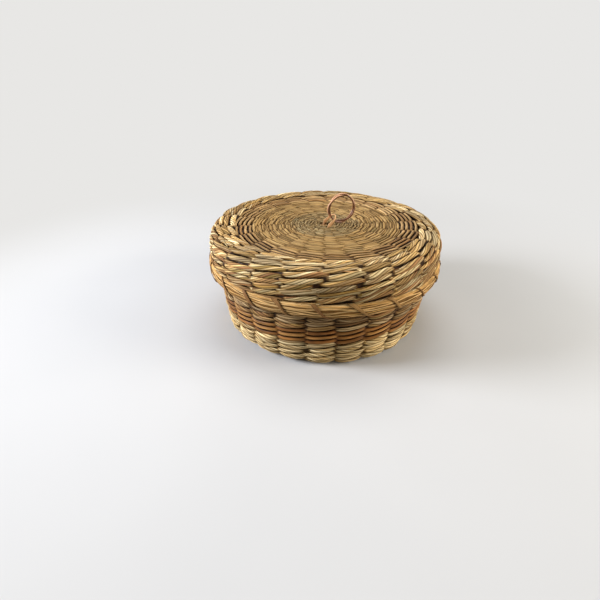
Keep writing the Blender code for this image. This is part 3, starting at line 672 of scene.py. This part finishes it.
def make_bundle():
    """Straws laid side by side round an oval core, drawn in where the lashing crosses them."""
    rng = random_numbers("rim_bundle")
    strands = Strands()
    turn = np.arange(BUNDLE_STEPS) / BUNDLE_STEPS * TAU
    groove = 0.5 - np.abs((turn * SPOKE_COUNT / TAU + 0.5) % 1.0 - 0.5)
    pinch = 1 - BUNDLE_PINCH * np.exp(-(groove / PINCH_REACH) ** 2)
    wander = waves(rng, turn, STRAW_COUNT, 2, 26) * STRAW_WANDER
    lift = waves(rng, turn, STRAW_COUNT, 3, 30) * STRAW_LIFT
    core = (BUNDLE_HALF_WIDTH - STRAW_HALF_WIDTH, BUNDLE_HALF_HEIGHT - STRAW_HALF_WIDTH)
    centre, across, out = ring_frame(turn, BUNDLE_RADIUS, BUNDLE_MIDDLE, 1.0, 0.0)
    # The core is given proud 0, so where it shows between the straws it is painted in shade
    strands.sweep(centre, across, out, core[1] * pinch, core[0] * pinch, 0 * turn + 0.5, 0 * turn,
                  sides=16, closed=True, flat=0.0)
    for number in range(STRAW_COUNT):
        section = TAU * (number + wander[number]) / STRAW_COUNT
        section = section + STRAW_CROWDING * np.sin(2 * section)
        reach = (core[0] + lift[number]) * pinch, (core[1] + lift[number]) * pinch
        radius = BUNDLE_RADIUS + reach[0] * np.cos(section)
        height = BUNDLE_MIDDLE + reach[1] * np.sin(section)
        slope = np.stack([np.cos(section) * reach[1], np.sin(section) * reach[0]], 0)
        slope = slope / np.hypot(*slope)
        centre, across, out = ring_frame(turn, radius, height, slope[0], slope[1])
        joints = np.sort(rng.uniform(0, TAU, STRAW_PIECES))
        near = np.abs((turn[:, None] - joints[None, :] + math.pi) % TAU - math.pi).min(1)
        thin = 1 - JOINT_THINNING * np.exp(-(near / JOINT_REACH) ** 2)
        tone = rng.random(STRAW_PIECES + 1)[np.searchsorted(joints, turn)]
        half = STRAW_HALF_WIDTH * rng.uniform(0.8, 1.2) * thin
        strands.sweep(centre, across, out, half * 1.15, half * 0.9, tone, 0 * turn + 1.0,
                      sides=6, closed=True, blade_start=float(number), flat=0.0)
    strands.build("straw_rim", "lid", gold_straw, "straw_bundle", "lid_rim_bundle")


STRIP_DRIFT = 0.13
STRIP_UNEVEN = 0.3
STRIP_HALF_THICKNESS = 0.22 * MM


def make_lashing(name, body, material, slot, nodes, radius, middle, half_width, half_height, count, strip,
                 lift=0.42 * MM, steps=28):
    """Thin splint wound round a rim, count times."""
    rng = random_numbers(name)
    strands = Strands()
    total = count * steps
    step = np.arange(total)
    turn = TAU * step / total
    wrap = math.pi - TAU * step / steps
    wobble = waves(rng, turn, 3, 5, 40)
    slope = np.stack([np.cos(wrap) * half_height, np.sin(wrap) * half_width], 0)
    slope = slope / np.hypot(*slope)
    far = radius + half_width * np.cos(wrap) + lift * slope[0]
    height = middle + half_height * np.sin(wrap) + lift * slope[1]
    shifted = turn + STRIP_DRIFT / count * wobble[0]
    centre, _, out = ring_frame(shifted, far, height, slope[0], slope[1])
    run = np.roll(centre, -1, 0) - np.roll(centre, 1, 0)
    across = np.cross(out, run)
    across = across / np.linalg.norm(across, axis=1)[:, None]
    out = np.cross(run, across)
    out = out / np.linalg.norm(out, axis=1)[:, None]
    half = strip * np.clip(1 + STRIP_UNEVEN * wobble[1], 0.5, 1.6)
    strands.sweep(centre, across, out, half, 0 * turn + STRIP_HALF_THICKNESS,
                  rng.random(count)[step // steps], 0 * turn + 1.0, blades=2, sides=8, closed=True, flat=0.4)
    strands.build(name, body, material, slot, *nodes)


make_bundle()
make_lashing("rim_lashing", "lid", dark_wood, "dark_splint", ["lid_rim_lashing"], BUNDLE_RADIUS,
             BUNDLE_MIDDLE, BUNDLE_HALF_WIDTH, BUNDLE_HALF_HEIGHT, SPOKE_COUNT, 1.3 * MM)

# Collar weavers and hoop, under the lid
COLLAR_ROWS = ((-0.25, 0), (0.25, 1))
COLLAR_RADIUS = 90.0 * MM
COLLAR_SWING = 0.95 * MM
COLLAR_STEPS = 12
COLLAR_BEND = 2.2
COLLAR_ROW_SHARE = 0.48
COLLAR_HALF_THICKNESS = 0.38 * MM
HOOP_RADIUS = 92.2 * MM
HOOP_HALF_WIDTH = 1.15 * MM
HOOP_HALF_HEIGHT = 2.4 * MM
HOOP_STEPS = 240
CROSSING_STEPS = 9


def make_collar():
    """Two rows of flat weaver that pass in and out of the stakes."""
    _, middle, half = node_ring("side_collar")
    strands = Strands()
    for share, odd in COLLAR_ROWS:
        step = np.arange(STAKE_COUNT * COLLAR_STEPS) / COLLAR_STEPS
        turn = TAU * step / STAKE_COUNT
        swing = np.tanh(COLLAR_BEND * np.cos(math.pi * (step + odd))) / math.tanh(COLLAR_BEND)
        centre, across, out = ring_frame(turn, COLLAR_RADIUS + COLLAR_SWING * swing,
                                         middle + 2 * half * share, 1.0, 0.0)
        strands.sweep(centre, across, out, 0 * turn + half * COLLAR_ROW_SHARE,
                      0 * turn + COLLAR_HALF_THICKNESS,
                      0 * turn + 0.35 + 0.3 * odd, 0 * turn + 1.0,
                      sides=12, closed=True, blade_start=40.0 * odd, flat=0.5)
    strands.build("collar_weavers", "basket", split_wood, "splint", "side_collar")


def make_hoop():
    _, middle, _ = node_ring("basket_rim_hoop")
    rng = random_numbers("hoop")
    turn = np.arange(HOOP_STEPS) / HOOP_STEPS * TAU
    wave = waves(rng, turn, 2, 2, 12)
    centre, across, out = ring_frame(turn, HOOP_RADIUS, middle + 0.1 * MM * wave[0], 1.0, 0.0)
    strands = Strands()
    strands.sweep(centre, across, out, HOOP_HALF_HEIGHT * (1 + 0.03 * wave[1]), 0 * turn + HOOP_HALF_WIDTH,
                  0 * turn + 0.3, 0 * turn + 1.0, sides=16, closed=True, flat=0.1)
    strands.build("rim_hoop", "basket", split_wood, "splint", "basket_rim_hoop")
    make_lashing("hoop_lashing", "basket", dark_wood, "dark_splint", [], HOOP_RADIUS, middle,
                 HOOP_HALF_WIDTH, HOOP_HALF_HEIGHT, 2 * STAKE_COUNT, 1.0 * MM, lift=0.16 * MM, steps=20)


def make_crossing(name, body, count, reach, level, depth, half_width):
    """Splints that cross in a stack at the middle, one for each pair of opposite splints."""
    strands = Strands()
    rng = random_numbers(name)
    for number in range(count // 2):
        turn = TAU * number / count
        along = np.linspace(-reach, reach, CROSSING_STEPS)
        height = level + depth * (number + 0.5) / (count // 2)
        centre = np.stack([along * math.cos(turn), along * math.sin(turn), 0 * along + height], 1)
        across = np.tile([-math.sin(turn), math.cos(turn), 0.0], (CROSSING_STEPS, 1))
        out = np.tile([0.0, 0.0, 1.0], (CROSSING_STEPS, 1))
        strands.sweep(centre, across, out, 0 * along + half_width, 0 * along + depth / count,
                      0 * along + rng.random(), 0 * along + 1.0, sides=8, blade_start=3.0 * number, flat=0.4)
    strands.build(name, body, split_wood, "splint")


make_collar()
make_hoop()
make_crossing("lid_splint_crossing", "lid", SPOKE_COUNT, 13.0 * MM, SPOKE_LEVEL - 0.65 * MM,
              0.6 * MM, 1.0 * MM)
make_crossing("base_splint_crossing", "basket", STAKE_COUNT, 10.0 * MM, STAKE_LEVEL + 0.05 * MM,
              0.7 * MM, 1.1 * MM)

# Ring handle and its loop, laid out as in the model
HANDLE_TURN = math.radians(23.3)
HANDLE_PLACE = Matrix.Translation((3.2 * MM, -4.1 * MM, 0.0)) @ Matrix.Rotation(HANDLE_TURN, 4, "Z")
HUB_TOP = 87.9 * MM
RING_RADIUS = 11.6 * MM
RING_ROD_RADIUS = 1.25 * MM
RING_HEIGHT = HUB_TOP + 0.3 * MM + RING_ROD_RADIUS + RING_RADIUS
RING_CANE_RADIUS = 0.88 * MM
RING_CANE_GAP = 0.62 * MM
RING_HELD_GAP = 0.48 * MM
RING_HELD = math.radians(223)
RING_HELD_REACH = 0.5
RING_STEPS = 200
RING_PIECES = 5
TIE_FOOT = -2.0 * MM
TIE_HALF_SPAN = 5.2 * MM
TIE_RISE = 11.0 * MM
TIE_LEAN = math.radians(45)
TIE_DEPTH = 2.6 * MM
TIE_TUCK = 3 * MM
TIE_HALF_THICKNESS = 0.3 * MM
TIE_HEIGHTS = np.array([0, 1, 3.5, 5.5]) * MM
TIE_HALF_WIDTHS = np.array([1.2, 1.75, 1.4, 0.75]) * MM


def placed(points):
    return np.array([HANDLE_PLACE @ Vector(point) for point in points])


def turned(directions):
    return np.array([HANDLE_PLACE.to_3x3() @ Vector(direction) for direction in directions])


def make_ring():
    """Two thin canes laid round each other, drawn together where the loop holds them."""
    rng = random_numbers("ring")
    turn = np.arange(RING_STEPS) / RING_STEPS * TAU
    wave = waves(rng, turn, 6, 2, 9)
    zero = 0 * turn
    around = np.stack([np.cos(turn), zero, np.sin(turn)], 1)
    side = np.tile([0.0, 1.0, 0.0], (RING_STEPS, 1))
    from_held = np.abs((turn - RING_HELD + math.pi) % TAU - math.pi)
    held = np.exp(-(from_held / RING_HELD_REACH) ** 4)
    apart = RING_CANE_GAP * (1 - held) + RING_HELD_GAP * held
    rod = RING_CANE_RADIUS * (1 - 0.16 * held)
    strands = Strands()
    for number in (0, 1):
        lay = math.pi * number + 2 * turn + 0.25 * wave[2]
        reach = RING_RADIUS * (1 + 0.006 * wave[0] * (1 - held)) + apart * np.cos(lay)
        centre = np.array([RING_RADIUS, 0.0, RING_HEIGHT]) + around * reach[:, None]
        centre[:, 1] += apart * np.sin(lay) + 0.1 * MM * wave[1] * (1 - held)
        half = rod * (1 + 0.05 * np.clip(wave[3 + number], -1, 1) * (1 - held))
        tone = rng.random(RING_PIECES)[(turn / TAU * RING_PIECES).astype(int)]
        strands.sweep(placed(centre), turned(side), turned(around), half, half, tone, zero + 1.0,
                      blades=2, sides=12, closed=True, blade_start=5.0 * number, flat=0.0)
    strands.build("cane_ring", "ring", ring_cane, "ring_cane", "ring_handle")


def make_tie():
    """Splint loop whose legs go down into the middle of the lid."""
    bend = math.pi - math.pi * np.arange(ARC_STEPS + 1) / ARC_STEPS
    legs = np.linspace(0, TIE_RISE - TIE_HALF_SPAN, 8)[:-1]
    rise = np.concatenate([legs, TIE_RISE - TIE_HALF_SPAN + TIE_HALF_SPAN * np.sin(bend), legs[::-1]])
    span = np.concatenate([0 * legs - TIE_HALF_SPAN, TIE_HALF_SPAN * np.cos(bend), 0 * legs + TIE_HALF_SPAN])
    centre = np.stack([TIE_FOOT + rise * math.sin(TIE_LEAN), span, HUB_TOP + rise * math.cos(TIE_LEAN)], 1)
    sunk = HUB_TOP - TIE_DEPTH
    below = [(TIE_FOOT, TIE_HALF_SPAN - TIE_TUCK, sunk), (TIE_FOOT, TIE_HALF_SPAN, sunk)]
    front = np.array([(x, -y, z) for x, y, z in below])
    centre = np.concatenate([front, centre, np.array(below[::-1])])
    run = np.gradient(centre, axis=0)
    across = np.tile([math.cos(TIE_LEAN), 0.0, -math.sin(TIE_LEAN)], (len(centre), 1))
    across[:2] = across[-2:] = (1.0, 0.0, 0.0)
    out = np.cross(run, across)
    out = out / np.linalg.norm(out, axis=1)[:, None]
    out[:2] = out[-2:] = (0.0, 0.0, 1.0)
    width = np.interp(centre[:, 2], HUB_TOP + TIE_HEIGHTS, TIE_HALF_WIDTHS)
    strands = Strands()
    strands.sweep(placed(centre), turned(across), turned(out), width, 0 * width + TIE_HALF_THICKNESS,
                  0 * width + 0.2, 0 * width + 1.0, sides=8, flat=0.4)
    strands.build("splint_loop", "lid", tie_wood, "splint", "ring_tie")


make_ring()
make_tie()


def make_loose_ends(name, body, line, material, slot, low, high, count):
    """Ends of grass that stand a little off the rows."""
    rng = random_numbers(name)
    strands = Strands()
    for _ in range(count):
        share = np.linspace(0, 1, 8)
        hand = rng.choice([-1, 1])
        reach = rng.uniform(5, 13) * MM
        length = rng.uniform(low, high) + hand * rng.uniform(-0.15, 0.15) * reach * share
        place = line.at(length)
        turn = rng.uniform(0, TAU) + hand * reach * share / np.maximum(place[:, 0], 20 * MM)
        lift = (1.15 + rng.uniform(0.3, 1.3) * share ** 1.6) * MM
        radius = place[:, 0] + place[:, 2] * lift
        height = place[:, 1] + place[:, 3] * lift
        centre, across, out = ring_frame(turn, radius, height, place[:, 2], place[:, 3])
        half = rng.uniform(0.45, 0.8) * MM * (1 - 0.75 * share ** 2)
        strands.sweep(centre, across, out, half, 0.35 * half, 0 * share + rng.random(), 0 * share + 1.0,
                      sides=6, flat=0.0)
    strands.build(name, body, material, slot)


make_loose_ends("loose_ends_lid", "lid", lid_line(SKIRT_ROW_OFFSET), tan_rush, "tan_rush",
                80 * MM, 114 * MM, 34)
make_loose_ends("loose_ends_side", "basket", wall_line(WALL_ROW_OFFSET), pale_grass, "pale_grass",
                83 * MM, 102 * MM, 12)


FLOOR_DARK = (202, 201, 199)
FLOOR_LIGHT = (210, 209, 207)
FLOOR_BOUNCE = (146, 143, 137)
FAR_COLOUR = (232, 231, 229)
FLOOR_HALF = 6
GLOW_START = 0.15
GLOW_FULL = 0.5


def seen_directly(n):
    """1 where the camera, a reflection or a clear pass looks straight at the surface."""
    path = n.add("LightPath").outputs
    seen = n.math("MAXIMUM", path["Is Camera Ray"], path["Is Glossy Ray"])
    return n.math("MAXIMUM", seen, path["Is Transmission Ray"])


def make_floor():
    """Pale floor that keeps the near shadow and doesn't darken far from the lamps."""
    mesh = bpy.data.meshes.new("floor")
    corners = [(-1, -1), (1, -1), (1, 1), (-1, 1)]
    mesh.from_pydata([(x * FLOOR_HALF, y * FLOOR_HALF, 0) for x, y in corners], [], [(0, 1, 2, 3)])
    material, n, shader = new_material("floor")
    place = n.add("NewGeometry").outputs["Position"]
    cloud = n.noise(place, 3.0, 3.0)
    pale = n.ramp(cloud, [(NOISE_LOW, linear(*FLOOR_DARK)), (NOISE_HIGH, linear(*FLOOR_LIGHT))])
    seen = seen_directly(n)
    n.set(shader.inputs["Base Color"], n.mix(seen, (*linear(*FLOOR_BOUNCE), 1.0), pale))
    shader.inputs["Roughness"].default_value = 0.85
    away = n.add("VectorMath", {0: place}, operation="LENGTH").outputs["Value"]
    far = n.add("MapRange", {"Value": away, "From Min": GLOW_START, "From Max": GLOW_FULL},
                interpolation_type="SMOOTHSTEP")
    glow = n.add("Emission", {"Color": (*linear(*FAR_COLOUR), 1.0), "Strength": 1.0})
    mix = n.add("MixShader", {0: n.math("MULTIPLY", far.outputs["Result"], seen)})
    n.tree.links.new(shader.outputs[0], mix.inputs[1])
    n.tree.links.new(glow.outputs[0], mix.inputs[2])
    n.tree.links.new(mix.outputs[0], n.tree.nodes["Material Output"].inputs["Surface"])
    mesh.materials.append(material)
    floor = bpy.data.objects.new("floor", mesh)
    bpy.context.scene.collection.objects.link(floor)


def make_world():
    """Soft light from all round, with a paler background where it is seen."""
    world = bpy.data.worlds.new("studio")
    world.use_nodes = True
    n = Nodes(world.node_tree)
    light = n.tree.nodes["Background"]
    light.inputs["Color"].default_value = (1.0, 0.98, 0.95, 1.0)
    light.inputs["Strength"].default_value = 0.15
    seen = n.add("Background", {"Color": (*linear(*FAR_COLOUR), 1.0), "Strength": 1.0})
    mix = n.add("MixShader", {0: seen_directly(n)})
    n.tree.links.new(light.outputs[0], mix.inputs[1])
    n.tree.links.new(seen.outputs[0], mix.inputs[2])
    n.tree.links.new(mix.outputs[0], n.tree.nodes["World Output"].inputs["Surface"])
    bpy.context.scene.world = world


LIGHT_TARGET = (0, 0, 0.05)


def add_light(name, place, size, power, colour=(1.0, 1.0, 1.0)):
    light = bpy.data.lights.new(name, "AREA")
    light.shape = "DISK"
    light.size = size
    light.energy = power
    light.color = colour
    item = bpy.data.objects.new(name, light)
    item.location = place
    item.rotation_euler = (Vector(LIGHT_TARGET) - Vector(place)).to_track_quat("-Z", "Y").to_euler()
    bpy.context.scene.collection.objects.link(item)


def make_studio():
    scene = bpy.context.scene
    scene.view_settings.view_transform = "Standard"
    make_world()
    add_light("key", (-1.0, -0.16, 0.46), 0.45, 16.8, (0.95, 0.99, 1.09))
    add_light("fill", (0.98, -0.18, 0.42), 0.6, 9.6, (1.0, 0.96, 0.88))
    add_light("top", (0.0, 0.25, 1.1), 0.8, 5.2)


# Camera fitted to the photo
CAMERA_LENS = 26.106
CAMERA_PLACE = (0.0, -0.36056, 0.22090)
CAMERA_RIGHT = (0.99811, 0.06123, 0.00523)
CAMERA_UP = (-0.03547, 0.50453, 0.86267)


def make_camera():
    camera = bpy.data.cameras.new("camera")
    camera.sensor_width = 36.0
    camera.lens = CAMERA_LENS
    camera.clip_start = 0.01
    item = bpy.data.objects.new("camera", camera)
    right = Vector(CAMERA_RIGHT).normalized()
    up = Vector(CAMERA_UP).normalized()
    turned_to_view = Matrix((right, up, right.cross(up))).transposed().to_4x4()
    item.matrix_world = Matrix.Translation(CAMERA_PLACE) @ turned_to_view
    bpy.context.scene.collection.objects.link(item)
    bpy.context.scene.camera = item


make_floor()
make_studio()
make_camera()
